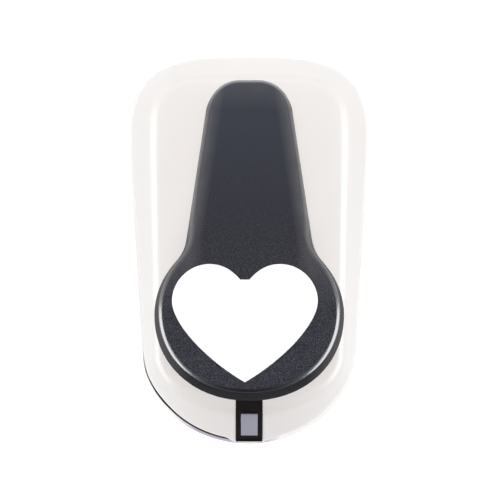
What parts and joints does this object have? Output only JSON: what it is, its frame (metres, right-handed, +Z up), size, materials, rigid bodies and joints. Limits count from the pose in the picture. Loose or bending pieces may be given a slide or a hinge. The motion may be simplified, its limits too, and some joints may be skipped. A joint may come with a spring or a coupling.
{
  "type": "heart hole punch",
  "caption": "Lever punch that cuts a heart out of paper: domed white housing with a front throat, a hinged lever with a round head and heart inlay, and a sliding lock.",
  "frame": {"origin": "under the middle of the housing, on the surface that the rubber feet stand on", "axes": "+Y to the hinge end at the rear, -Y to the paper throat and lock at the front, +X to the right in the picture, +Z up"},
  "size_m": [0.0868, 0.1408, 0.0696],
  "materials": {
    "white_plastic": "glossy moulded",
    "charcoal_plastic": "fine moulded grain",
    "black_plastic": "smooth moulded",
    "grey_plastic": "smooth moulded",
    "steel": "plated",
    "zinc": "die cast and ground",
    "rubber": "matt",
    "nylon": "smooth moulded"
  },
  "bodies": {
    "housing": {"base_shell": "white_plastic", "bottom_cover": "white_plastic", "throat_plate": "white_plastic", "top_cover": "white_plastic", "lock_bezel": "black_plastic", "foot_rear_right": "rubber", "foot_rear_left": "rubber", "foot_front_right": "rubber", "foot_front_left": "rubber", "die_plate": "steel", "frame_spacer": "steel", "guide_plate": "zinc", "hinge_bracket": "steel", "hinge_bush_right": "nylon", "hinge_bush_left": "nylon", "guide_post_rear": "steel", "guide_post_front_left": "steel", "guide_post_front_right": "steel", "return_spring_rear": "steel", "return_spring_front_left": "steel", "return_spring_front_right": "steel", "housing_screw_front_right": "steel", "housing_screw_front_left": "steel", "housing_screw_rear_right": "steel", "housing_screw_rear_left": "steel", "base_screw_right": "steel", "base_screw_left": "steel", "frame_screw_front_right": "steel", "frame_screw_front_left": "steel", "frame_screw_rear_right": "steel", "frame_screw_rear_left": "steel", "bracket_screw_front": "steel", "bracket_screw_rear": "steel"},
    "lever": {"lever": "charcoal_plastic", "heart_inlay": "white_plastic", "hinge_pin": "steel"},
    "punch": {"plunger": "charcoal_plastic", "cutter": "zinc", "plunger_screw_right": "steel", "plunger_screw_left": "steel"},
    "lock": {"lock_button": "grey_plastic", "lock_latch": "steel"}
  },
  "joints": [
    {"name": "lever_hinge", "type": "hinge", "parent": "housing", "child": "lever", "pos_m": [0, 0.05, 0.0445], "axis": [1, 0, 0], "range_deg": [0, 8], "stiffness_Nm_per_rad": 8, "springref_deg": -3.15},
    {"name": "punch_slide", "type": "slide", "parent": "housing", "child": "punch", "axis": [0, 0, -1], "range_m": [0, 0.01022], "deforming": ["return_spring_rear", "return_spring_front_left", "return_spring_front_right"]},
    {"name": "lock_slide", "type": "slide", "parent": "housing", "child": "lock", "axis": [0, 0.657, 0.7539], "range_m": [0, 0.003]}
  ],
  "couplings": [
    {"joint": "punch_slide", "follows": "lever_hinge", "m_per_rad": 0.0731}
  ]
}
